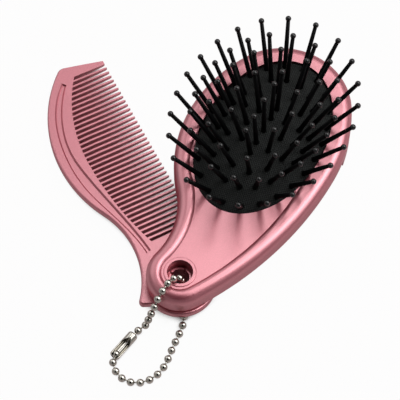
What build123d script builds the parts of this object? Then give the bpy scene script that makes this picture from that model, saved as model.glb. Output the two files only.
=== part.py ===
from build123d import *
import os
from math import atan2, cos, degrees, radians, sin, sqrt

# Folding pocket hair brush with a comb that swings out from under it, and a bead chain.
# Millimetres. The origin is on the pivot axis, at the height of the brush's flat underside.
# +Y runs from the pivot towards the head, +Z points out of the pin face.

# Handle outline: a teardrop of tangent arcs, round at the tail, waisted on its left side
tail_radius = 11.2
head_half_width = 27.5
head_middle_y = 57.5
head_top_y = 95.8
head_flank_radius = 54.0
left_flank_radius = 48.0
waist_radius = 28.0

# Handle shell
shell_height = 10.8
rim_roundness = 3.4
skirt_roundness = 1.0
floor_drop = 0.9
floor_slope = 0.9
floor_tail_radius = 6.1
floor_half_width = 19.8
floor_middle_y = 48.0
floor_top_y = 85.0
floor_left_radius = 21.5
floor_waist_radius = 33.2
crest_roundness = 1.75
shell_wall = 1.8
deck_wall = 1.9
comb_bay = 3.0
foot_start_x = -10.0
foot_start_y = 66.0

# Pivot boss of the handle, with a shoulder that the comb's hub snaps through
eye_radius = 4.3
eye_lip_width = 1.1
eye_lip_height = 0.3
eye_lip_roundness = 0.27
boss_wall = 1.6
shoulder_top = 5.0

# Cushion: an oval rubber dome clamped by its flange in a pocket of the deck
cushion_middle_y = 58.0
cushion_half_width = 20.9
cushion_half_length = 31.4
cushion_rise = 4.2
cushion_cap_angle = 60.0
cushion_skin = 1.3
cushion_edge_drop = 0.1
flange_width = 1.0
flange_thickness = 1.2
flange_drop = 2.1
cushion_gap = 0.12
pocket_depth = 4.6
pocket_floor = 1.2

# Ball-tipped pins in oval rings round a row of three. Each ring: its share of the cushion's half
# axes, its pins, and how far it is turned, in pin spacings
pin_rings = {
    "pins_outer_ring": (0.925, 24, 0.0),
    "pins_second_ring": (0.71, 22, 0.5),
    "pins_third_ring": (0.53, 14, 0.5),
    "pins_fourth_ring": (0.305, 8, 0.0),
}
middle_pins = 3
middle_pin_pitch = 5.3
pin_length = 19.2
pin_neck_radius = 0.62
pin_foot_radius = 0.8
pin_sides = 6
ball_radius = 0.95
ball_band = 0.76
ball_tip_radius = 0.48
collar_radius = 1.05
collar_height = 0.4
pin_seat_gap = 0.24
side_splay = 0.70
end_splay = 0.57
leftward_lean = 0.04
headward_lean = 0.04

# Comb, laid out as it lies folded under the handle, its spine following the handle's left side
comb_thickness = 2.7
spine_roundness = 0.8
fold_angle = 48.0
hub_radius = 12.0
hub_bore_radius = 3.05
hub_wall = 0.6
hub_fit = 0.07
snap_overhang = 0.38
snap_height = 0.9
snap_play = 0.06
tooth_slant = 8.1
tip_line = 14.8
gap_count = 38
tooth_pitch = 1.85
first_gap = 18.1
root_gap = 1.2
tip_gap = 1.25
longest_tooth = 22.4
longest_tooth_at = 54.0
root_radius_below = 118.0
root_radius_above = 57.4
tip_thickness = 1.15
tip_taper = 17.0
corner_place = (91.6, 14.2)
end_tooth_tip = 88.7
corner_roundness = 3.0
heel_width = 2.5
tip_point = 0.35
tip_point_length = 0.8
spine_radius = 48.0
spine_middle_y = 60.0
spine_reach = 25.1
waist_x = -10.5
waist_y = 14.1
channel_depth = 0.75
channel_slope = 0.5
channel_outer = ((-6.7, 13.6), (-12.4, 29.3), (-18.9, 44.1), (-21.4, 58.1), (-19.8, 73.8), (-13.9, 85.1))
channel_inner = ((-13.3, 84.6), (-18.4, 73.0), (-19.7, 57.5), (-17.3, 47.8), (-11.1, 30.4), (-5.9, 13.9))
tab_reach = 15.3
tab_start_angle = 188.5
tab_end_angle = 194.0
tab_heel_angle = 204.0
tab_roundness = 1.2
snap_slots = 4
snap_slot_width = 0.8

# Bead chain: hollow beads on short wires, closed by a slotted tube
bead_radius = 1.2
bead_pitch = 3.175
bead_sides = 8
bead_latitudes = (-67.5, -22.5, 22.5, 67.5)
wire_radius = 0.36
wire_sides = 6
connector_head = (-5.0, -22.2, -1.58)
connector_foot = (-6.95, -32.35, -1.85)
connector_radius = 1.6
connector_wall = 0.25
connector_mouth = 1.15
connector_end_slope = 0.55
connector_window_width = 2.0
connector_window_start = 2.3
connector_window_point = 1.5
connector_window_end = 1.0
connector_seam = 0.3
caught_bead_depth = 1.3
# The middles of the chain's turns, from the connector over the rim and down the eye
chain_over_the_rim = (
    (-4.4, -20.2, -1.65),
    (-3.3, -18.5, -0.9),
    (-2.5, -17.2, 2.2),
    (-1.65, -14.5, 7.8),
    (-1.4, -12.3, 10.6),
    (-1.1, -9.4, 12.35),
    (-0.85, -6.3, 12.4),
    (-0.25, -3.4, 11.2),
    (0.9, -1.3, 8.3),
    (1.3, -0.75, 5.0),
)
# Then under the hub and round the loop that lies on the table, back to the connector
chain_on_the_table = (
    (1.3, -0.8, 2.4),
    (1.45, -1.05, -0.4),
    (3.0, -3.6, -1.55),
    (5.0, -6.5, -1.54),
    (6.9, -10.1, -1.63),
    (7.8, -14.1, -1.75),
    (8.4, -20.6, -1.92),
    (9.1, -27.1, -2.1),
    (7.4, -33.2, -2.26),
    (2.7, -37.0, -2.36),
    (-3.2, -36.6, -2.35),
    (-5.7, -34.6, -2.2),
)


def towards(start, end, distance):
    """The point at a distance from start on the line to end."""
    return start + (end - start).normalized() * distance


def crossing_of_circles(centre_a, radius_a, centre_b, radius_b):
    """The left-hand crossing of two circles, seen from a to b."""
    span = (centre_b - centre_a).length
    along = (radius_a**2 - radius_b**2 + span**2) / (2 * span)
    aside = sqrt(radius_a**2 - along**2)
    direction = (centre_b - centre_a).normalized()
    return centre_a + direction * along + Vector(-direction.Y, direction.X) * aside


def short_arc(centre, radius, start, end):
    """The shorter arc round a centre from start to end."""
    ThreePointArc(start, towards(centre, (start + end) * 0.5, radius), end)


def teardrop(tail_arc, half_width, middle_y, top_y, head_flank, left_flank, waist):
    """A closed teardrop of tangent arcs round a tail at the origin. Only the left side is waisted."""
    tail = Vector(0, 0)
    head_rise = top_y - middle_y
    aside = head_flank - half_width
    top_arc = (head_flank**2 - aside**2 - head_rise**2) / (2 * (head_flank - head_rise))
    top_centre = Vector(0, top_y - top_arc)
    right_arc = (half_width**2 + middle_y**2 - tail_arc**2) / (2 * (half_width - tail_arc))
    right_centre = Vector(half_width - right_arc, middle_y)
    left_centre = Vector(left_flank - half_width, middle_y)
    waist_centre = crossing_of_circles(tail, tail_arc + waist, left_centre, left_flank + waist)
    right_foot = towards(tail, right_centre, -tail_arc)
    right_side = Vector(half_width, middle_y)
    right_top = towards(top_centre, Vector(-aside, middle_y), -top_arc)
    left_top = towards(top_centre, Vector(aside, middle_y), -top_arc)
    left_side = Vector(-half_width, middle_y)
    waist_top = towards(waist_centre, left_centre, waist)
    waist_foot = towards(waist_centre, tail, waist)
    with BuildLine() as outline:
        short_arc(right_centre, right_arc, right_foot, right_side)
        short_arc(Vector(-aside, middle_y), head_flank, right_side, right_top)
        short_arc(top_centre, top_arc, right_top, left_top)
        short_arc(Vector(aside, middle_y), head_flank, left_top, left_side)
        short_arc(left_centre, left_flank, left_side, waist_top)
        short_arc(waist_centre, waist, waist_top, waist_foot)
        short_arc(tail, tail_arc, waist_foot, right_foot)
    return outline.line


def handle_outline(inset):
    """The handle's outline, moved inwards by inset."""
    return teardrop(
        tail_radius - inset,
        head_half_width - inset,
        head_middle_y,
        head_top_y - inset,
        head_flank_radius - inset,
        left_flank_radius - inset,
        waist_radius + inset,
    )


def floor_outline():
    """The sunken floor's outline, which ends under the cushion at the head."""
    return teardrop(
        floor_tail_radius,
        floor_half_width,
        floor_middle_y,
        floor_top_y,
        head_flank_radius,
        floor_left_radius,
        floor_waist_radius,
    )


deck_top = shell_height - floor_drop
cushion_middle = (0, cushion_middle_y)
hub_outer_radius = hub_bore_radius + hub_wall
flange_seat = deck_top - flange_drop
pocket_bottom = deck_top - pocket_depth
past_the_shell = 2 * head_top_y

# Handle shell: rounded rim, sunken deck, open underside that ends above the comb
with BuildPart() as handle_shell:
    with BuildSketch(Plane.XY.offset(comb_bay)):
        make_face(handle_outline(0))
    extrude(amount=shell_height - comb_bay)
    fillet(handle_shell.faces().sort_by(Axis.Z)[-1].edges(), radius=rim_roundness)
    fillet(handle_shell.faces().sort_by(Axis.Z)[0].edges(), radius=skirt_roundness)
    # The foot under the head stands on the table, clear of the comb's way out
    with BuildSketch():
        make_face(handle_outline(0))
        Polygon(
            (foot_start_x, foot_start_y),
            (past_the_shell, foot_start_y),
            (past_the_shell, past_the_shell),
            (foot_start_x, past_the_shell),
            align=None,
            mode=Mode.INTERSECT,
        )
    extrude(amount=comb_bay + skirt_roundness)
    with BuildSketch(Plane.XY.offset(deck_top)):
        make_face(floor_outline())
    extrude(amount=floor_drop, taper=-degrees(atan2(floor_slope, floor_drop)), mode=Mode.SUBTRACT)
    crest = handle_shell.faces().filter_by(Plane.XY).sort_by(Axis.Z)[-1]
    fillet(crest.inner_wires()[0].edges(), radius=crest_roundness)
    with BuildSketch():
        make_face(handle_outline(shell_wall))
    extrude(amount=deck_top - deck_wall, mode=Mode.SUBTRACT)
    # The cup under the cushion hangs from the deck, and the flange's groove has its own wall
    for bottom, margin in (
        (pocket_bottom - pocket_floor, pocket_floor),
        (flange_seat - pocket_floor, flange_width + pocket_floor),
    ):
        with BuildSketch(Plane.XY.offset(bottom)):
            with Locations(cushion_middle):
                Ellipse(cushion_half_width + margin, cushion_half_length + margin)
        extrude(amount=deck_top - deck_wall / 2 - bottom)
    # The pivot boss stands from just above the comb's hub to the deck, with a lip round its eye
    with BuildSketch(Plane.XY.offset(comb_bay)):
        Circle(eye_radius + boss_wall)
    extrude(amount=deck_top - comb_bay)
    with BuildSketch(Plane.XY.offset(deck_top)):
        Circle(eye_radius + eye_lip_width)
    extrude(amount=eye_lip_height)
    fillet(handle_shell.edges(Select.LAST).sort_by(Axis.Z)[-1], radius=eye_lip_roundness)
    # The cushion's pocket: its opening, the undercut for the flange, and the air space below
    for top, bottom, margin in (
        (shell_height, flange_seat, cushion_gap),
        (flange_seat + flange_thickness + cushion_gap, flange_seat, flange_width + cushion_gap),
        (flange_seat, pocket_bottom, -flange_width),
    ):
        with BuildSketch(Plane.XY.offset(top)):
            with Locations(cushion_middle):
                Ellipse(cushion_half_width + margin, cushion_half_length + margin)
        extrude(amount=bottom - top, mode=Mode.SUBTRACT)
    # The eye for the chain, narrowed below to the shoulder that the hub turns in
    with BuildSketch(Plane.XY.offset(shoulder_top)):
        Circle(eye_radius)
    extrude(amount=shell_height, mode=Mode.SUBTRACT)
    with BuildSketch():
        Circle(hub_outer_radius + hub_fit)
    extrude(amount=shell_height, mode=Mode.SUBTRACT)

# Cushion: a rubber skin domed as the cap of an ellipsoid, with an upright edge and a flange below
cap_angle = radians(cushion_cap_angle)
cushion_edge = deck_top - cushion_edge_drop
dome_half_axes = Vector(
    cushion_half_width / sin(cap_angle),
    cushion_half_length / sin(cap_angle),
    cushion_rise / (1 - cos(cap_angle)),
)
dome_centre = Vector(0, cushion_middle_y, cushion_edge - dome_half_axes.Z * cos(cap_angle))


def dome(inset):
    """The dome of the cushion as a closed cap, with its half axes shorter by inset."""
    with BuildPart() as cap:
        with BuildSketch(Plane.XZ):
            with BuildLine():
                CenterArc((0, 0), 1, 0, 90)
                Polyline((0, 1), (0, 0), (1, 0))
            make_face()
        revolve(axis=Axis.Z)
        scale(by=tuple(dome_half_axes - Vector(inset, inset, inset)))
    with BuildPart() as placed_cap:
        with Locations(dome_centre):
            add(cap.part)
        split(bisect_by=Plane.XY.offset(cushion_edge), keep=Keep.TOP)
    return placed_cap.part


outer_dome = dome(0)
inner_dome = dome(cushion_skin)
with BuildPart() as cushion:
    add(outer_dome)
    for top, margin in ((cushion_edge, 0), (flange_seat + flange_thickness, flange_width)):
        with BuildSketch(Plane.XY.offset(flange_seat)):
            with Locations(cushion_middle):
                Ellipse(cushion_half_width + margin, cushion_half_length + margin)
        extrude(amount=top - flange_seat)
    with BuildSketch(Plane.XY.offset(flange_seat)):
        with Locations(cushion_middle):
            Ellipse(cushion_half_width - cushion_skin, cushion_half_length - cushion_skin)
    extrude(amount=cushion_edge - flange_seat, mode=Mode.SUBTRACT)
    add(inner_dome, mode=Mode.SUBTRACT)

# One pin on its base: a moulded foot, the shaft and the ball tip, all six-sided
with BuildPart() as pin:
    for height, radius in (
        (0, collar_radius),
        (collar_height, pin_foot_radius),
        (pin_length - 2 * ball_radius, pin_neck_radius),
        (pin_length - ball_radius - ball_band / 2, ball_radius),
        (pin_length - ball_radius + ball_band / 2, ball_radius),
        (pin_length, ball_tip_radius),
    ):
        with BuildSketch(Plane.XY.offset(height)):
            RegularPolygon(radius, pin_sides)
    loft(ruled=True)


def pin_seat(x, y):
    """The plane that a pin stands on, at a place on the dome seen from above."""
    reach_x = x / dome_half_axes.X
    reach_y = y / dome_half_axes.Y
    height = dome_half_axes.Z * sqrt(1 - reach_x**2 - reach_y**2)
    lean = Vector(side_splay * x / cushion_half_width, end_splay * y / cushion_half_length, 1)
    lean += Vector(-leftward_lean, headward_lean, 0)
    seat = dome_centre + Vector(x, y, height) + lean.normalized() * pin_seat_gap
    return Plane(origin=seat, x_dir=(1, 0, -lean.X), z_dir=lean)


def oval_seats(share, count, turned):
    """Evenly spaced seats round an oval ring, the first at the head end before the ring is turned."""
    half_width = share * cushion_half_width
    half_length = share * cushion_half_length
    ring = Edge.make_ellipse(half_width, half_length, start_angle=90, end_angle=90)
    for seat in range(count):
        reach = (seat + turned) / count * ring.length
        spot = ring.position_at(reach, position_mode=PositionMode.LENGTH)
        yield pin_seat(spot.X, spot.Y)


pin_rows = {}
for name, ring_of_pins in pin_rings.items():
    with BuildPart() as pin_rows[name]:
        with Locations(*oval_seats(*ring_of_pins)):
            add(pin.part)
with BuildPart() as pin_rows["pins_middle_row"]:
    offsets = [(place - (middle_pins - 1) / 2) * middle_pin_pitch for place in range(middle_pins)]
    with Locations(*[pin_seat(0, offset) for offset in offsets]):
        add(pin.part)

# Comb, drawn as it lies folded and turned out by the fold angle
folded = Plane.XY.rotated((0, 0, fold_angle))
spine_centre = Vector(spine_radius - spine_reach, spine_middle_y)
waist_span = spine_centre.X - waist_x
waist_rise = spine_middle_y - waist_y
comb_waist_radius = (waist_span**2 + waist_rise**2 - spine_radius**2) / (2 * (spine_radius - waist_span))
comb_waist_centre = Vector(waist_x - comb_waist_radius, waist_y)
teeth_along = Vector(0, 1).rotate(Axis.Z, tooth_slant)
teeth_across = Vector(-1, 0).rotate(Axis.Z, tooth_slant)
teeth_origin = teeth_across * -tip_line
teeth = Plane(
    origin=folded.from_local_coords(teeth_origin),
    x_dir=folded.from_local_coords(teeth_along) - folded.origin,
    z_dir=(0, 0, 1),
)


def teeth_point(along, depth):
    """A point in the folded comb's plane, by its place along the tips' line and its depth."""
    return teeth_origin + teeth_along * along + teeth_across * depth


def polar(radius, angle):
    """A point at an angle round the pivot."""
    return Vector(radius, 0).rotate(Axis.Z, angle)


def gap_depth(along):
    """How deep the gaps reach at a place along the tips' line: two arcs that meet at the longest."""
    radius = root_radius_below if along < longest_tooth_at else root_radius_above
    return longest_tooth - radius + sqrt(radius**2 - (along - longest_tooth_at) ** 2)


with BuildPart() as comb:
    with BuildSketch(folded):
        with BuildLine():
            tab_start = polar(tab_reach, tab_start_angle)
            waist_end = towards(comb_waist_centre, spine_centre, comb_waist_radius)
            corner = towards(spine_centre, teeth_point(*corner_place), spine_radius)
            tip = teeth_point(end_tooth_tip, 0)
            heel = teeth_point(first_gap - heel_width, 0)
            ThreePointArc(tab_start, (waist_x, waist_y), waist_end)
            ThreePointArc(waist_end, Vector(-spine_reach, spine_middle_y), corner)
            Polyline(corner, tip, heel, (0, 0))
            Polyline((0, 0), polar(hub_radius, tab_heel_angle), polar(tab_reach, tab_end_angle), tab_start)
        make_face()
        Circle(hub_radius)
    extrude(amount=comb_thickness)
    upright = comb.edges().filter_by(Axis.Z)
    fillet(upright.sort_by_distance(folded.from_local_coords(corner))[0], radius=corner_roundness)
    for place in (tab_start, polar(tab_reach, tab_end_angle)):
        upright = comb.edges().filter_by(Axis.Z)
        fillet(upright.sort_by_distance(folded.from_local_coords(place))[0], radius=tab_roundness)
    spine_edges = comb.edges().filter_by(GeomType.CIRCLE).filter_by(Axis.Z, reverse=True)
    fillet(spine_edges, radius=spine_roundness)
    # The teeth taper in thickness towards their tips
    taper_side = Plane(
        origin=teeth.from_local_coords((first_gap, 0, 0)), x_dir=teeth.y_dir, z_dir=teeth.x_dir
    )
    taper_drop = (comb_thickness - tip_thickness) / 2
    with BuildSketch(taper_side):
        for face_height, inwards in ((comb_thickness, -1), (0, 1)):
            Polygon(
                (tip_taper, face_height),
                (0, face_height + inwards * taper_drop),
                (-tip_taper, face_height + inwards * taper_drop),
                (-tip_taper, face_height - inwards * taper_drop),
                align=None,
            )
    extrude(amount=past_the_shell, mode=Mode.SUBTRACT)
    with BuildSketch(teeth):
        for gap in range(gap_count):
            along = first_gap + gap * tooth_pitch
            Polygon(
                (along - root_gap / 2, gap_depth(along - root_gap / 2)),
                (along - tip_gap / 2, tip_point_length),
                (along - tip_gap / 2 - tip_point / 2, 0),
                (along - tip_gap / 2 - tip_point / 2, -tip_taper),
                (along + tip_gap / 2 + tip_point / 2, -tip_taper),
                (along + tip_gap / 2 + tip_point / 2, 0),
                (along + tip_gap / 2, tip_point_length),
                (along + root_gap / 2, gap_depth(along + root_gap / 2)),
                align=None,
            )
    extrude(amount=comb_thickness, mode=Mode.SUBTRACT)
    # A leaf-shaped channel runs along the back
    with BuildSketch(folded.offset(comb_thickness)):
        with BuildLine():
            Spline(*channel_outer)
            Line(channel_outer[-1], channel_inner[0])
            Spline(*channel_inner)
            Line(channel_inner[-1], channel_outer[0])
        make_face()
    extrude(amount=-channel_depth, mode=Mode.SUBTRACT)
    chamfer(comb.edges().filter_by(GeomType.BSPLINE).group_by(Axis.Z)[-1], length=channel_slope)
    # The hub's tube turns in the handle's shoulder, and its slotted lip snaps in above it
    with BuildSketch(Plane.XY.offset(comb_thickness)):
        Circle(hub_outer_radius)
    extrude(amount=shoulder_top + snap_play - comb_thickness)
    with BuildSketch(Plane.XY.offset(shoulder_top + snap_play)):
        Circle(hub_outer_radius + snap_overhang)
    extrude(amount=snap_height)
    chamfer(comb.edges().sort_by(Axis.Z)[-1], length=snap_overhang)
    with BuildSketch():
        Circle(hub_bore_radius)
    extrude(amount=shell_height, mode=Mode.SUBTRACT)
    with BuildSketch(Plane.XY.offset(comb_bay)):
        with PolarLocations(hub_outer_radius, snap_slots):
            Rectangle(2 * (hub_wall + snap_overhang), snap_slot_width)
    extrude(amount=shell_height, mode=Mode.SUBTRACT)

# Bead chain: even steps along one route that starts and ends inside the connector
connector_run = Vector(*connector_foot) - Vector(*connector_head)
connector_way = connector_run.normalized()
chain_start = towards(Vector(*connector_head), Vector(*connector_foot), caught_bead_depth)
chain_end = towards(Vector(*connector_foot), Vector(*connector_head), caught_bead_depth)
with BuildLine() as chain_route:
    Spline(
        chain_start,
        connector_head,
        *chain_over_the_rim,
        *chain_on_the_table,
        connector_foot,
        chain_end,
    )
route = chain_route.edges()[0]
bead_steps = round(route.length / bead_pitch)
bead_planes = []
for step in range(bead_steps + 1):
    reach = route.length * step / bead_steps
    bead_planes.append(
        Plane(
            origin=route.position_at(reach, position_mode=PositionMode.LENGTH),
            z_dir=route.tangent_at(reach, position_mode=PositionMode.LENGTH),
        )
    )

with BuildPart() as bead:
    for latitude in bead_latitudes:
        with BuildSketch(Plane.XY.offset(bead_radius * sin(radians(latitude)))):
            RegularPolygon(bead_radius * cos(radians(latitude)), bead_sides)
    loft(ruled=True)

chain_beads = {}
for number, place in enumerate(bead_planes, start=1):
    with BuildPart() as chain_beads[f"chain_bead_{number:02d}"]:
        with Locations(place):
            add(bead.part)

with BuildPart() as chain_links:
    for near, far in zip(bead_planes, bead_planes[1:]):
        way = (far.origin - near.origin).normalized()
        with BuildSketch(Plane(origin=near.origin + way * bead_radius, z_dir=way)):
            RegularPolygon(wire_radius, wire_sides)
        extrude(amount=(far.origin - near.origin).length - 2 * bead_radius)

# Connector: a rolled tube with drawn-in ends, a pointed window above and its seam below
connector_length = connector_run.length
window_side = Plane(origin=connector_head, x_dir=connector_way, z_dir=(0, 0, 1))
with BuildPart() as chain_connector:
    with BuildSketch(Plane(origin=connector_head, x_dir=connector_way, z_dir=window_side.y_dir * -1)):
        with BuildLine():
            Polyline(
                (0, 0),
                (0, connector_mouth),
                ((connector_radius - connector_mouth) * connector_end_slope, connector_radius),
                (
                    connector_length - (connector_radius - connector_mouth) * connector_end_slope,
                    connector_radius,
                ),
                (connector_length, connector_mouth),
                (connector_length, 0),
                (0, 0),
            )
        make_face()
    revolve(axis=Axis(connector_head, connector_way))
    ends = chain_connector.faces().filter_by(GeomType.PLANE)
    offset(amount=-connector_wall, openings=ends)
    with BuildSketch(window_side):
        Polygon(
            (connector_window_start, 0),
            (connector_window_start + connector_window_point, connector_window_width / 2),
            (connector_length - connector_window_end, connector_window_width / 2),
            (connector_length - connector_window_end, -connector_window_width / 2),
            (connector_window_start + connector_window_point, -connector_window_width / 2),
            align=None,
        )
    extrude(amount=2 * connector_radius, mode=Mode.SUBTRACT)
    with BuildSketch(window_side):
        with Locations((connector_length / 2, 0)):
            Rectangle(connector_length, connector_seam)
    extrude(amount=-2 * connector_radius, mode=Mode.SUBTRACT)

pieces = {
    "handle_shell": handle_shell,
    "cushion": cushion,
    **pin_rows,
    "comb": comb,
    **chain_beads,
    "chain_links": chain_links,
    "chain_connector": chain_connector,
}
os.makedirs("parts", exist_ok=True)
for name, piece in pieces.items():
    piece.part.label = name
    export_step(piece.part, f"parts/{name}.step")
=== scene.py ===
from math import atan2, cos, pi, radians, sin, sqrt

import bmesh
import bpy
import numpy as np
from mathutils import Matrix, Vector


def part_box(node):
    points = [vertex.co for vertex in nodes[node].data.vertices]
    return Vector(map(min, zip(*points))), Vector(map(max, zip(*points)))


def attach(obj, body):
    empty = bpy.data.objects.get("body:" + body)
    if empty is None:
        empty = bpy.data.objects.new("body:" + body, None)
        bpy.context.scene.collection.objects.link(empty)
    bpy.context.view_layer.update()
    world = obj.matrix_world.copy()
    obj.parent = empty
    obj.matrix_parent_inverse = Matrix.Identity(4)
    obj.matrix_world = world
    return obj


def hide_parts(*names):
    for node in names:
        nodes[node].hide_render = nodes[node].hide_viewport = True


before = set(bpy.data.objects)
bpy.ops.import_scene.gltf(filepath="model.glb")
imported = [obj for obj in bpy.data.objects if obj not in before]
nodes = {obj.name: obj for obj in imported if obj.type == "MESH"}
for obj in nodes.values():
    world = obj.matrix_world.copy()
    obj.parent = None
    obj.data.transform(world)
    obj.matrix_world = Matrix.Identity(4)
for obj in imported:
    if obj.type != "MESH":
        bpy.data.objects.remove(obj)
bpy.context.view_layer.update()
MM = 0.001
WHITE = (1, 1, 1, 1)

# Viewpoint: turned about the brush, looking down at it as it lies on the table
VIEW_TURN = radians(28.8)
VIEW_ELEVATION = radians(62.5)
VIEW_DISTANCE = 650 * MM
VIEW_TARGET = Vector((-9.55 * MM, 30.90 * MM, 0.0))
FOCAL_LENGTH = 172.9
SENSOR_WIDTH = 36.0
CLIP_START = 0.01

# The table, which the chain's beads and the brush's head touch
TABLE_TOUCH_Y = -5 * MM
TABLE_TOUCH_Z = -2.8 * MM
TABLE_SLOPE = 0.027
TABLE_REACH = 1.5
# The table's diffuse colour, tinted pink as painted bounce light from the brush, which also pinks its
# reflections in the brush
TABLE_COLOUR_WITH_PINK_BOUNCE = (0.46, 0.37, 0.375, 1)
TABLE_GLOW_TO_CAMERA = 0.97
TABLE_GLOW_IN_MIRRORS = 0.28
TABLE_SHADE_REACH = 12 * MM
TABLE_SHADE_START = 0.19
TABLE_SHADE_END = 0.48

# The tent's grey by the height looked at, and the dark opening about the camera
TENT_LEVELS = ((0.0, 0.20), (0.35, 0.34), (0.75, 0.55), (1.0, 0.62))
OPENING_EDGE = 0.75
OPENING_INSIDE = 0.89

# Lamps: name, place and size in metres, power in watts
SOFTBOXES = (
    ("softbox_left", (-0.75, 0.30, 0.55), (0.9, 0.7), 1.5),
    ("softbox_right", (0.60, 0.45, 0.75), (0.8, 0.8), 4.0),
    ("softbox_overhead", (0.13, 0.28, 0.56), (0.6, 0.5), 2.25),
)

# Textures: features per metre, and heights of the bumps
PEARL_FLAKES = 5200
PLASTIC_GRAIN = 2600
NYLON_MOTTLE = 900
NICKEL_TONE = 700
NICKEL_DULLNESS = 1600
NICKEL_GRAIN = 1200
GRAIN_HEIGHT = 0.02 * MM
WEAVE_PITCH = 0.95
WEAVE_HEIGHT = 0.16 * MM

# The pearl's clear coat, full where it faces the eye and thin at its edges
COAT_FULL_UP_TO = 0.40
COAT_THIN_FROM = 0.80
COAT_THIN = 0.15

# Cushion: the same dome as in the solid, with (drop, inset) steps in mm round its tucked edge
CUSHION_RISE = 4.2 * MM
CUSHION_CAP = radians(60)
CUSHION_EDGE_WIDTH = 1.0 * MM
CUSHION_EDGE = ((0.35, -0.04), (1.3, 0.0), (2.0, 0.4))
CUSHION_GAP = 0.12 * MM
CUSHION_RINGS = 90
CUSHION_SIDES = 256
DIMPLE_DEPTH = 0.22 * MM
DIMPLE_RADIUS = 1.1 * MM

# Pins: the foot sinks into the rubber, flares out of it and runs up into the ball
PIN_NECK_RADIUS = 0.66 * MM
PIN_SHAFT_RADIUS = 0.86 * MM
PIN_FOOT_RADIUS = 1.0 * MM
PIN_FOOT_DEPTH = 0.6 * MM
PIN_FOOT_TOP = 0.1 * MM
PIN_FLARE_HEIGHT = 0.25 * MM
PIN_FLARE_SHARE = 1.08
PIN_SHAFT_START = 0.8 * MM
PIN_BALL_RADIUS = 1.0 * MM
PIN_SIDES = 16
PIN_BALL_STEPS = 16

# Beads and wires: shares are of the bead's, the hole's and the wire's radius
BEAD_RADIUS = 1.28 * MM
BEAD_SIDES = 24
BEAD_STEPS = 16
BEAD_HOLE_RADIUS = 0.42 * MM
BEAD_HOLE_TAPER = 0.92
BEAD_HOLE_END = 0.8
WIRE_RADIUS = 0.3 * MM
WIRE_SIDES = 12
WIRE_START = 0.75
WIRE_WAIST = 0.86

# Connector: the tube that the solid has, with a pointed window and a seam below
CONNECTOR_HEAD = Vector((-5.0, -22.2, -1.5)) * MM
CONNECTOR_FOOT = Vector((-6.95, -32.35, -1.75)) * MM
CONNECTOR_FACING = Vector((0.22, 0.0, 0.9))
CONNECTOR_RADIUS = 1.74 * MM
CONNECTOR_WALL = 0.22 * MM
CONNECTOR_MOUTH = 1.15 * MM
CONNECTOR_END = 0.8 * MM
CONNECTOR_STATIONS = 72
CONNECTOR_STEPS = 28
WINDOW_POINT = 2.0 * MM
WINDOW_SHOULDER = 4.6 * MM
WINDOW_REACH = radians(70)
WINDOW_FOOT_REACH = radians(48)
SEAM_REACH = radians(4)

# Reading the solids' points: what counts as one point, and as one end of a pin
SAME_POINT = 1e-7
SAME_END = 1e-5


# Materials

def srgb(red, green, blue):
    """A colour given as 0 to 255 screen values, in linear light."""
    def linear(value):
        share = value / 255
        return share / 12.92 if share <= 0.04045 else ((share + 0.055) / 1.055) ** 2.4
    return (linear(red), linear(green), linear(blue), 1.0)


def grey(level):
    """A grey of one level, in linear light."""
    return (level, level, level, 1)


def new_material(name):
    """A node material, with its tree and its principled shader."""
    material = bpy.data.materials.new(name)
    material.use_nodes = True
    tree = material.node_tree
    return material, tree, tree.nodes["Principled BSDF"]


def add_node(tree, kind, **settings):
    """A shader node with its named sockets or properties set."""
    node = tree.nodes.new(kind)
    for name, value in settings.items():
        if name in node.inputs:
            node.inputs[name].default_value = value
        else:
            setattr(node, name, value)
    return node


def maths(tree, operation, *operands):
    """The result of a math node over sockets and plain numbers."""
    node = add_node(tree, "ShaderNodeMath", operation=operation)
    for socket, operand in zip(node.inputs, operands):
        if isinstance(operand, float):
            socket.default_value = operand
        else:
            tree.links.new(operand, socket)
    return node.outputs[0]


def object_position(tree, scale):
    """The place on the object, times a scale, in the row frame."""
    coordinates = add_node(tree, "ShaderNodeTexCoord")
    mapping = add_node(tree, "ShaderNodeMapping")
    mapping.inputs["Scale"].default_value = (scale, scale, scale)
    tree.links.new(coordinates.outputs["Object"], mapping.inputs["Vector"])
    return mapping.outputs["Vector"]


def noise(tree, scale, detail):
    """A noise over the object with a scale in features per metre."""
    texture = add_node(tree, "ShaderNodeTexNoise", Scale=1.0, Detail=detail, Roughness=0.5)
    tree.links.new(object_position(tree, scale), texture.inputs["Vector"])
    return texture.outputs["Fac"]


def ramp(tree, factor, stops):
    """A colour ramp from (position, colour) stops."""
    node = add_node(tree, "ShaderNodeValToRGB")
    elements = node.color_ramp.elements
    while len(elements) < len(stops):
        elements.new(0.5)
    for element, (position, colour) in zip(elements, stops):
        element.position = position
        element.color = colour
    tree.links.new(factor, node.inputs["Fac"])
    return node.outputs["Color"]


def bump(tree, shader, height, strength, distance):
    """A bump on the shader's normal."""
    node = add_node(tree, "ShaderNodeBump", Strength=strength, Distance=distance)
    tree.links.new(height, node.inputs["Height"])
    tree.links.new(node.outputs["Normal"], shader.inputs["Normal"])


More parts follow.
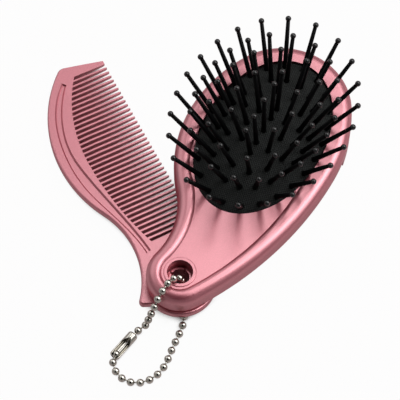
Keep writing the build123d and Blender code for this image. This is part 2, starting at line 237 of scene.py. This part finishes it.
def pearl_pink():
    """Moulded plastic with a fine metallic pearl in it."""
    material, tree, shader = new_material("pearl_pink")
    flakes = add_node(tree, "ShaderNodeTexVoronoi", feature="F1", Scale=1.0)
    tree.links.new(object_position(tree, PEARL_FLAKES), flakes.inputs["Vector"])
    colour = ramp(tree, flakes.outputs["Color"], [
        (0.0, srgb(175, 74, 90)),
        (0.5, srgb(184, 81, 97)),
        (1.0, srgb(193, 89, 105)),
    ])
    tree.links.new(colour, shader.inputs["Base Color"])
    shader.inputs["Metallic"].default_value = 0.78
    shader.inputs["Roughness"].default_value = 0.38
    facing = add_node(tree, "ShaderNodeLayerWeight", Blend=0.5)
    coat = ramp(tree, facing.outputs["Facing"], [
        (COAT_FULL_UP_TO, WHITE),
        (COAT_THIN_FROM, grey(COAT_THIN)),
    ])
    tree.links.new(coat, shader.inputs["Coat Weight"])
    shader.inputs["Coat IOR"].default_value = 2.25
    shader.inputs["Coat Roughness"].default_value = 0.32
    grain = noise(tree, PLASTIC_GRAIN, detail=3.0)
    bump(tree, shader, grain, strength=0.06, distance=GRAIN_HEIGHT)
    return material


def cushion_rubber():
    """Black rubber with a fine woven grain, its colour painted darker in the weave's hollows as shade
    and lighter on its crests as sheen.
    """
    material, tree, shader = new_material("cushion_rubber")
    position = add_node(tree, "ShaderNodeSeparateXYZ")
    waves_per_metre = 2 * pi / (WEAVE_PITCH * MM)
    tree.links.new(object_position(tree, waves_per_metre), position.inputs["Vector"])
    across = maths(tree, "SINE", position.outputs["X"])
    along = maths(tree, "SINE", position.outputs["Y"])
    weave = maths(tree, "MULTIPLY", across, along)
    height = maths(tree, "MULTIPLY_ADD", weave, 0.5, 0.5)
    # Painted shade and sheen: the colour follows the weave's height, near black in the hollows and
    # grey on the crests.
    colour = ramp(tree, height, [
        (0.0, srgb(0, 1, 1)),
        (1.0, srgb(41, 43, 42)),
    ])
    tree.links.new(colour, shader.inputs["Base Color"])
    shader.inputs["Roughness"].default_value = 0.6
    shader.inputs["Specular IOR Level"].default_value = 0.12
    bump(tree, shader, height, strength=0.9, distance=WEAVE_HEIGHT)
    return material


def black_nylon(name, dark, light, roughness, specular):
    """Black nylon, mottled between two tones."""
    material, tree, shader = new_material(name)
    colour = ramp(tree, noise(tree, NYLON_MOTTLE, detail=2.0), [(0.35, dark), (0.75, light)])
    tree.links.new(colour, shader.inputs["Base Color"])
    shader.inputs["Roughness"].default_value = roughness
    shader.inputs["Specular IOR Level"].default_value = specular
    return material


def pin_nylon():
    """The dull nylon of the shafts."""
    return black_nylon("pin_nylon", srgb(3, 3, 4), srgb(8, 8, 9), roughness=0.4, specular=0.07)


def pin_tip_nylon():
    """The same nylon, glossy where the mould rounded the tips, its colour painted lighter there as a
    glint.
    """
    # Painted glint: the tips get a lighter copy of the nylon's colour.
    return black_nylon("pin_tip_nylon", srgb(6, 6, 7), srgb(14, 14, 15), roughness=0.2, specular=0.5)


def nickel():
    """Bright nickel plate, duller in random patches."""
    material, tree, shader = new_material("nickel")
    colour = ramp(tree, noise(tree, NICKEL_TONE, detail=3.0), [
        (0.3, srgb(171, 167, 159)),
        (0.7, srgb(204, 200, 191)),
    ])
    tree.links.new(colour, shader.inputs["Base Color"])
    shader.inputs["Metallic"].default_value = 1.0
    roughness = ramp(tree, noise(tree, NICKEL_DULLNESS, detail=3.0), [
        (0.3, grey(0.06)),
        (0.8, grey(0.15)),
    ])
    tree.links.new(roughness, shader.inputs["Roughness"])
    grain = noise(tree, NICKEL_GRAIN, detail=3.0)
    bump(tree, shader, grain, strength=0.05, distance=GRAIN_HEIGHT)
    return material


# Mesh helpers

def add_mesh(name, points, faces, material, slot):
    """A smooth mesh object in the row frame."""
    mesh = bpy.data.meshes.new(name)
    mesh.from_pydata([tuple(point) for point in points], [], faces)
    mesh.materials.append(material)
    for polygon in mesh.polygons:
        polygon.use_smooth = True
    mesh.update()
    piece = bpy.data.objects.new(name, mesh)
    bpy.context.scene.collection.objects.link(piece)
    return piece


def turned(profile, sides):
    """Points and faces of a profile of (height, radius) pairs turned about +Z, closed at both ends."""
    points = []
    for height, radius in profile:
        for side in range(sides):
            angle = 2 * pi * side / sides
            points.append(Vector((radius * cos(angle), radius * sin(angle), height)))
    faces = []
    for ring in range(len(profile) - 1):
        for side in range(sides):
            after = (side + 1) % sides
            low, high = ring * sides, (ring + 1) * sides
            faces.append((low + side, low + after, high + after, high + side))
    faces.append(tuple(reversed(range(sides))))
    faces.append(tuple(range((len(profile) - 1) * sides, len(profile) * sides)))
    return points, faces


def placed(shape, origin, direction):
    """A turned shape moved to an origin with its +Z along a direction."""
    points, faces = shape
    turn = direction.to_track_quat("Z", "Y").to_matrix()
    return [origin + turn @ point for point in points], faces


def joined(shapes):
    """Several shapes as one list of points and faces."""
    all_points, all_faces = [], []
    for points, faces in shapes:
        start = len(all_points)
        all_points.extend(points)
        all_faces.extend(tuple(start + index for index in face) for face in faces)
    return all_points, all_faces


# Pins

def solids_of(node):
    """The separate solids of a CAD node, as arrays of points."""
    mesh = bmesh.new()
    mesh.from_mesh(nodes[node].data)
    bmesh.ops.remove_doubles(mesh, verts=mesh.verts, dist=SAME_POINT)
    left = set(mesh.verts)
    solids = []
    while left:
        found = {left.pop()}
        edge = set(found)
        while edge:
            edge = {e.other_vert(v) for v in edge for e in v.link_edges} - found
            found |= edge
        left -= found
        solids.append(np.array([v.co[:] for v in found]))
    mesh.free()
    return sorted(solids, key=lambda solid: tuple(solid.mean(0).round(6)))


def pin_axis(solid):
    """The foot and the tip of one pin's solid."""
    middle = solid.mean(0)
    direction = np.linalg.svd(solid - middle)[2][0]
    direction = direction * np.sign(direction[2])
    reach = (solid - middle) @ direction
    ends = []
    for end in (reach.min(), reach.max()):
        ends.append(Vector(solid[abs(reach - end) < SAME_END].mean(0)))
    return ends


def shaft_profile(length):
    """A pin's foot that flares into the rubber and its tapered shaft, up into the ball."""
    return [
        (-PIN_FOOT_DEPTH, PIN_FOOT_RADIUS),
        (-PIN_FOOT_TOP, PIN_FOOT_RADIUS),
        (PIN_FLARE_HEIGHT, PIN_SHAFT_RADIUS * PIN_FLARE_SHARE),
        (PIN_SHAFT_START, PIN_SHAFT_RADIUS),
        (length - PIN_BALL_RADIUS, PIN_NECK_RADIUS),
    ]


def ball_profile(length):
    """The ball at a pin's tip."""
    ball_middle = length - PIN_BALL_RADIUS
    profile = []
    for step in range(PIN_BALL_STEPS):
        angle = -pi / 2 + pi * (step + 0.5) / PIN_BALL_STEPS
        profile.append((ball_middle + PIN_BALL_RADIUS * sin(angle), PIN_BALL_RADIUS * cos(angle)))
    return profile


def build_pins(shaft_material, tip_material):
    """Every ring of pins, standing where the solids stand; their feet are handed back."""
    feet = []
    for node in sorted(name for name in nodes if name.startswith("pins_")):
        shafts, balls = [], []
        for solid in solids_of(node):
            foot, tip = pin_axis(solid)
            feet.append(foot)
            length = (tip - foot).length
            way = (tip - foot).normalized()
            shafts.append(placed(turned(shaft_profile(length), PIN_SIDES), foot, way))
            balls.append(placed(turned(ball_profile(length), PIN_SIDES), foot, way))
        for name, shapes, material in (
            ("shafts_of_", shafts, shaft_material),
            ("balls_of_", balls, tip_material),
        ):
            piece = add_mesh(name + node, *joined(shapes), material, "pin_nylon")
            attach(piece, "brush")
            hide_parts(node)
    return feet


# Cushion

def dome_points(middle, half_width, half_length, edge_z):
    """The dome's rings of points, from near its top down to its edge."""
    flat = cos(CUSHION_CAP)
    points = []
    for ring in range(1, CUSHION_RINGS + 1):
        share = ring / CUSHION_RINGS
        lean = sin(CUSHION_CAP) * share
        height = edge_z + CUSHION_RISE * (sqrt(1 - lean**2) - flat) / (1 - flat)
        for side in range(CUSHION_SIDES):
            angle = 2 * pi * side / CUSHION_SIDES
            points.append([
                middle.x + half_width * share * cos(angle),
                middle.y + half_length * share * sin(angle),
                height,
            ])
    return np.array(points)


def press_dimples(points, feet):
    """The small hollow that each pin's foot makes in the rubber."""
    for foot in feet:
        away = np.hypot(points[:, 0] - foot.x, points[:, 1] - foot.y) / DIMPLE_RADIUS
        points[:, 2] -= DIMPLE_DEPTH * np.exp(-(away**2))


def tucked_edge(edge, middle, edge_z):
    """Rings of points that round the dome's edge down into the handle's groove."""
    points = []
    for drop, inset in CUSHION_EDGE:
        for point in edge:
            outwards = Vector((point.x - middle.x, point.y - middle.y, 0)).normalized()
            points.append(Vector((point.x, point.y, edge_z - drop * MM)) - outwards * inset * MM)
    return points


def cushion_faces(top):
    """Faces from the top point down over every ring, closed below."""
    faces = [(top, side, (side + 1) % CUSHION_SIDES) for side in range(CUSHION_SIDES)]
    last_ring = CUSHION_RINGS + len(CUSHION_EDGE) - 1
    for ring in range(last_ring):
        for side in range(CUSHION_SIDES):
            after = (side + 1) % CUSHION_SIDES
            near, far = ring * CUSHION_SIDES, (ring + 1) * CUSHION_SIDES
            faces.append((near + side, far + side, far + after, near + after))
    last = last_ring * CUSHION_SIDES
    faces.append(tuple(reversed(range(last, last + CUSHION_SIDES))))
    return faces


def build_cushion(material, feet):
    """The rubber dome, its rounded edge tucked into the handle's groove, dimpled at the pins."""
    low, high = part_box("cushion")
    middle = (low + high) / 2
    half_width = (high.x - low.x) / 2 - CUSHION_EDGE_WIDTH - CUSHION_GAP
    half_length = (high.y - low.y) / 2 - CUSHION_EDGE_WIDTH - CUSHION_GAP
    edge_z = high.z - CUSHION_RISE
    dome = dome_points(middle, half_width, half_length, edge_z)
    press_dimples(dome, feet)
    points = [Vector(point) for point in dome]
    points += tucked_edge(points[-CUSHION_SIDES:], middle, edge_z)
    points.append(Vector((middle.x, middle.y, high.z)))
    faces = cushion_faces(len(points) - 1)
    piece = add_mesh("cushion_dome", points, faces, material, "cushion_rubber")
    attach(piece, "brush")
    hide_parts("cushion")


# Chain and connector

def bead_profile():
    """A hollow ball with a small turned-in hole at each end."""
    start = atan2(BEAD_HOLE_RADIUS, BEAD_RADIUS)
    hole_end, hole_radius = BEAD_RADIUS * BEAD_HOLE_END, BEAD_HOLE_RADIUS * BEAD_HOLE_TAPER
    profile = [(-hole_end, hole_radius)]
    for step in range(BEAD_STEPS + 1):
        angle = -pi / 2 + start + (pi - 2 * start) * step / BEAD_STEPS
        profile.append((BEAD_RADIUS * sin(angle), BEAD_RADIUS * cos(angle)))
    profile.append((hole_end, hole_radius))
    return profile


def wire_profile(span):
    """The wire between two beads, a little thinner at its middle."""
    start = BEAD_RADIUS * WIRE_START
    return [(start, WIRE_RADIUS), (span / 2, WIRE_RADIUS * WIRE_WAIST), (span - start, WIRE_RADIUS)]


def build_chain(material):
    """Round beads and their wires, along the solids' places."""
    names = sorted(name for name in nodes if name.startswith("chain_bead_"))
    places = [(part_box(name)[0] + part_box(name)[1]) / 2 for name in names]
    for index, name in enumerate(names):
        before = places[max(index - 1, 0)]
        after = places[min(index + 1, len(places) - 1)]
        bead = turned(bead_profile(), BEAD_SIDES)
        shape = placed(bead, places[index], (after - before).normalized())
        piece = add_mesh("round_" + name, *shape, material, "nickel")
        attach(piece, "chain")
        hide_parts(name)
    wires = []
    for near, far in zip(places, places[1:]):
        wire = turned(wire_profile((far - near).length), WIRE_SIDES)
        wires.append(placed(wire, near, (far - near).normalized()))
    piece = add_mesh("chain_wires", *joined(wires), material, "nickel")
    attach(piece, "chain")
    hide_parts("chain_links")


def connector_radius(along, length):
    """The tube's outer radius, drawn in round at both ends."""
    depth = min(along, length - along, CONNECTOR_END) / CONNECTOR_END
    return CONNECTOR_MOUTH + (CONNECTOR_RADIUS - CONNECTOR_MOUTH) * sqrt(1 - (1 - depth) ** 2)


def window_reach(along, length):
    """Half the angle that the window opens over, at a place along the tube."""
    if along < WINDOW_POINT:
        return 0.0
    if along < WINDOW_SHOULDER:
        return WINDOW_REACH * (along - WINDOW_POINT) / (WINDOW_SHOULDER - WINDOW_POINT)
    share = (along - WINDOW_SHOULDER) / (length - WINDOW_SHOULDER)
    return WINDOW_REACH + (WINDOW_FOOT_REACH - WINDOW_REACH) * share**3


def half_tube_points(hand):
    """The outer and the inner layer of one half of the tube, from window to seam."""
    length = (CONNECTOR_FOOT - CONNECTOR_HEAD).length
    way = (CONNECTOR_FOOT - CONNECTOR_HEAD).normalized()
    facing = (CONNECTOR_FACING - way * CONNECTOR_FACING.dot(way)).normalized()
    side = way.cross(facing)
    points = []
    for layer in (0.0, CONNECTOR_WALL):
        for station in range(CONNECTOR_STATIONS + 1):
            along = length * station / CONNECTOR_STATIONS
            radius = connector_radius(along, length) - layer
            start = window_reach(along, length)
            for step in range(CONNECTOR_STEPS + 1):
                angle = start + (pi - SEAM_REACH - start) * step / CONNECTOR_STEPS
                reach = facing * cos(angle) + side * (hand * sin(angle))
                points.append(CONNECTOR_HEAD + way * along + reach * radius)
    return points


def half_tube_faces(hand):
    """Both layers of one half of the tube, and the rims that join them."""
    stations, steps = CONNECTOR_STATIONS, CONNECTOR_STEPS
    row = steps + 1
    inner = (stations + 1) * row
    faces = []
    for station in range(stations):
        for step in range(steps):
            a = station * row + step
            outside = (a, a + 1, a + row + 1, a + row)
            faces.append(outside if hand < 0 else tuple(reversed(outside)))
            inside = tuple(inner + index for index in outside)
            faces.append(inside if hand > 0 else tuple(reversed(inside)))
    rims = [(station * row, (station + 1) * row) for station in range(stations)]
    rims += [(station * row + steps, (station + 1) * row + steps) for station in range(stations)]
    rims += [(step, step + 1) for step in range(steps)]
    rims += [(stations * row + step, stations * row + step + 1) for step in range(steps)]
    return faces + [(near, far, inner + far, inner + near) for near, far in rims]


def build_connector(material):
    """The rolled tube in two halves that meet at the seam."""
    halves = [(half_tube_points(hand), half_tube_faces(hand)) for hand in (-1, 1)]
    piece = add_mesh("rolled_connector", *joined(halves), material, "nickel")
    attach(piece, "chain")
    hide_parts("chain_connector")


def dress_node(node, material):
    """A CAD node keeps its shape and gets its finish."""
    mesh = nodes[node].data
    mesh.materials.clear()
    mesh.materials.append(material)


# Stage, light and camera

def table_white():
    """White to the camera, duller in reflections, and dark in narrow gaps."""
    material = bpy.data.materials.new("table_white")
    material.use_nodes = True
    tree = material.node_tree
    tree.nodes.clear()
    output = add_node(tree, "ShaderNodeOutputMaterial")
    # Its diffuse colour is tinted pink: painted bounce light from the brush.
    surface = add_node(tree, "ShaderNodeBsdfDiffuse", Color=TABLE_COLOUR_WITH_PINK_BOUNCE)
    glow = add_node(tree, "ShaderNodeEmission", Color=WHITE, Strength=1.0)
    blend = add_node(tree, "ShaderNodeMixShader")
    rays = add_node(tree, "ShaderNodeLightPath").outputs
    mirrored = maths(tree, "MAXIMUM", rays["Is Glossy Ray"], rays["Is Transmission Ray"])
    in_mirror = maths(tree, "MULTIPLY", mirrored, TABLE_GLOW_IN_MIRRORS)
    share = maths(tree, "MULTIPLY_ADD", rays["Is Camera Ray"], TABLE_GLOW_TO_CAMERA, in_mirror)
    openness = add_node(tree, "ShaderNodeAmbientOcclusion", Distance=TABLE_SHADE_REACH)
    lit = add_node(tree, "ShaderNodeMapRange", interpolation_type="SMOOTHSTEP")
    lit.inputs["From Min"].default_value = TABLE_SHADE_START
    lit.inputs["From Max"].default_value = TABLE_SHADE_END
    tree.links.new(openness.outputs["AO"], lit.inputs["Value"])
    shaded = maths(tree, "MULTIPLY", share, lit.outputs["Result"])
    tree.links.new(shaded, blend.inputs["Fac"])
    tree.links.new(surface.outputs[0], blend.inputs[1])
    tree.links.new(glow.outputs[0], blend.inputs[2])
    tree.links.new(blend.outputs[0], output.inputs["Surface"])
    return material


def build_table():
    """A plain pale table, tinted pink as painted bounce light, that slopes from the chain's beads to
    the brush's head.
    """
    points = []
    for x, y in ((-1, -1), (1, -1), (1, 1), (-1, 1)):
        height = TABLE_TOUCH_Z + TABLE_SLOPE * (y * TABLE_REACH - TABLE_TOUCH_Y)
        points.append((x * TABLE_REACH, y * TABLE_REACH, height))
    mesh = bpy.data.meshes.new("table")
    mesh.from_pydata(points, [], [(0, 1, 2, 3)])
    mesh.materials.append(table_white())
    table = bpy.data.objects.new("table", mesh)
    bpy.context.scene.collection.objects.link(table)


def view_direction():
    """From the brush to the camera."""
    return Vector((
        sin(VIEW_TURN) * cos(VIEW_ELEVATION),
        -cos(VIEW_TURN) * cos(VIEW_ELEVATION),
        sin(VIEW_ELEVATION),
    ))


def build_tent():
    """A white tent, bright overhead, with the dark opening that the photograph was taken through."""
    world = bpy.data.worlds.new("white_tent")
    bpy.context.scene.world = world
    world.use_nodes = True
    tree = world.node_tree
    coordinates = add_node(tree, "ShaderNodeTexCoord")
    towards = add_node(tree, "ShaderNodeVectorMath", operation="DOT_PRODUCT")
    towards.inputs[1].default_value = view_direction()
    tree.links.new(coordinates.outputs["Generated"], towards.inputs[0])
    opening = ramp(tree, towards.outputs["Value"], [
        (OPENING_EDGE, WHITE),
        (OPENING_INSIDE, grey(0.0)),
    ])
    axes = add_node(tree, "ShaderNodeSeparateXYZ")
    tree.links.new(coordinates.outputs["Generated"], axes.inputs["Vector"])
    tent = ramp(tree, axes.outputs["Z"], [(height, grey(level)) for height, level in TENT_LEVELS])
    around = add_node(tree, "ShaderNodeMixRGB", blend_type="MULTIPLY", Fac=1.0)
    tree.links.new(tent, around.inputs["Color1"])
    tree.links.new(opening, around.inputs["Color2"])
    rays = add_node(tree, "ShaderNodeLightPath")
    white = add_node(tree, "ShaderNodeMixRGB", Color2=WHITE)
    tree.links.new(rays.outputs["Is Camera Ray"], white.inputs["Fac"])
    tree.links.new(around.outputs["Color"], white.inputs["Color1"])
    tree.links.new(white.outputs["Color"], tree.nodes["Background"].inputs["Color"])


def build_softboxes():
    """Square area lamps aimed at the brush."""
    for name, place, size, power in SOFTBOXES:
        lamp = bpy.data.lights.new(name, "AREA")
        lamp.shape = "RECTANGLE"
        lamp.size, lamp.size_y = size
        lamp.energy = power
        softbox = bpy.data.objects.new(name, lamp)
        softbox.location = place
        aim = VIEW_TARGET - Vector(place)
        softbox.rotation_euler = aim.to_track_quat("-Z", "Y").to_euler()
        bpy.context.scene.collection.objects.link(softbox)


def build_camera():
    """The photograph's viewpoint."""
    lens = bpy.data.cameras.new("camera")
    lens.sensor_width = SENSOR_WIDTH
    lens.lens = FOCAL_LENGTH
    lens.clip_start = CLIP_START
    backwards = view_direction()
    rightwards = Vector((cos(VIEW_TURN), sin(VIEW_TURN), 0))
    upwards = backwards.cross(rightwards)
    camera = bpy.data.objects.new("camera", lens)
    turn = Matrix((rightwards, upwards, backwards)).transposed().to_4x4()
    camera.matrix_world = Matrix.Translation(VIEW_TARGET + backwards * VIEW_DISTANCE) @ turn
    bpy.context.scene.collection.objects.link(camera)
    bpy.context.scene.camera = camera


# The dressed part on its table

pink = pearl_pink()
metal = nickel()
dress_node("handle_shell", pink)
dress_node("comb", pink)
build_connector(metal)
pin_feet = build_pins(pin_nylon(), pin_tip_nylon())
build_cushion(cushion_rubber(), pin_feet)
build_chain(metal)
build_table()
build_tent()
build_softboxes()
build_camera()
bpy.context.scene.view_settings.view_transform = "Standard"
